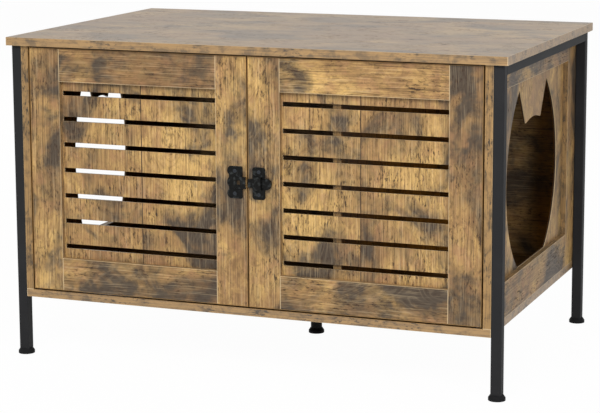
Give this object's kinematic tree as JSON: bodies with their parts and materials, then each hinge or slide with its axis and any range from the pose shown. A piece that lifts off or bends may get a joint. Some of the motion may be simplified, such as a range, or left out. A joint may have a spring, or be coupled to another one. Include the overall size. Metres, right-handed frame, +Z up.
{
  "type": "cat litter box cabinet",
  "caption": "Low board cabinet on steel end frames, with slatted double doors, a slide bolt and a cat-head opening in each side, to hide a litter box.",
  "frame": {"origin": "on the floor, under the centre of the cabinet", "axes": "+X along the width to the right as seen from the front, -Y to the front with the doors, +Z up"},
  "size_m": [1, 0.65, 0.628],
  "materials": {
    "top_board": "rustic brown decor board, satin",
    "carcass_board": "rustic brown decor board, satin",
    "frame_board": "rustic brown decor board, satin",
    "field_board": "rustic brown decor board, satin",
    "powder_coated_steel": "matt black powder coat",
    "antique_iron": "black, lightly hammered",
    "black_screws": "black",
    "black_bolts": "black",
    "zinc_steel": "zinc plated",
    "bush_plastic": "moulded nylon",
    "black_plastic": "moulded, matt"
  },
  "bodies": {
    "cabinet": {"back_panel": "carcass_board", "bottom_panel": "carcass_board", "centre_foot": "black_plastic", "centre_leg": "powder_coated_steel", "divider_panel": "carcass_board", "left_frame_bolts": "black_bolts", "left_frame_top_rail": "powder_coated_steel", "left_front_foot": "black_plastic", "left_front_post": "powder_coated_steel", "left_lower_bush": "bush_plastic", "left_rear_foot": "black_plastic", "left_rear_post": "powder_coated_steel", "left_side_bottom_rail": "frame_board", "left_side_field": "field_board", "left_side_front_stile": "frame_board", "left_side_rear_stile": "frame_board", "left_side_top_rail": "frame_board", "left_upper_bush": "bush_plastic", "right_frame_bolts": "black_bolts", "right_frame_top_rail": "powder_coated_steel", "right_front_foot": "black_plastic", "right_front_post": "powder_coated_steel", "right_lower_bush": "bush_plastic", "right_rear_foot": "black_plastic", "right_rear_post": "powder_coated_steel", "right_side_bottom_rail": "frame_board", "right_side_field": "field_board", "right_side_front_stile": "frame_board", "right_side_rear_stile": "frame_board", "right_side_top_rail": "frame_board", "right_upper_bush": "bush_plastic", "top_panel": "top_board"},
    "left_door": {"left_door_bottom_rail": "frame_board", "left_door_hinge_stile": "frame_board", "left_door_lower_pin": "zinc_steel", "left_door_meeting_stile": "frame_board", "left_door_slat_field": "field_board", "left_door_top_rail": "frame_board", "left_door_upper_pin": "zinc_steel", "keeper_plate": "antique_iron", "keeper_staple": "antique_iron", "keeper_screws": "black_screws"},
    "right_door": {"right_door_bottom_rail": "frame_board", "right_door_hinge_stile": "frame_board", "right_door_lower_pin": "zinc_steel", "right_door_meeting_stile": "frame_board", "right_door_slat_field": "field_board", "right_door_top_rail": "frame_board", "right_door_upper_pin": "zinc_steel", "latch_plate": "antique_iron", "bolt_guide": "antique_iron", "latch_screws": "black_screws"},
    "bolt": {"latch_bolt": "antique_iron"}
  },
  "joints": [
    {"name": "left_door_pivot", "type": "hinge", "parent": "cabinet", "child": "left_door", "pos_m": [-0.445, -0.3095, 0.372], "axis": [0, 0, -1], "range_deg": [0, 110]},
    {"name": "right_door_pivot", "type": "hinge", "parent": "cabinet", "child": "right_door", "pos_m": [0.445, -0.3095, 0.372], "axis": [0, 0, 1], "range_deg": [0, 110]},
    {"name": "latch_bolt_slide", "type": "slide", "parent": "right_door", "child": "bolt", "axis": [1, 0, 0], "range_m": [-0.0085, 0.002]}
  ]
}
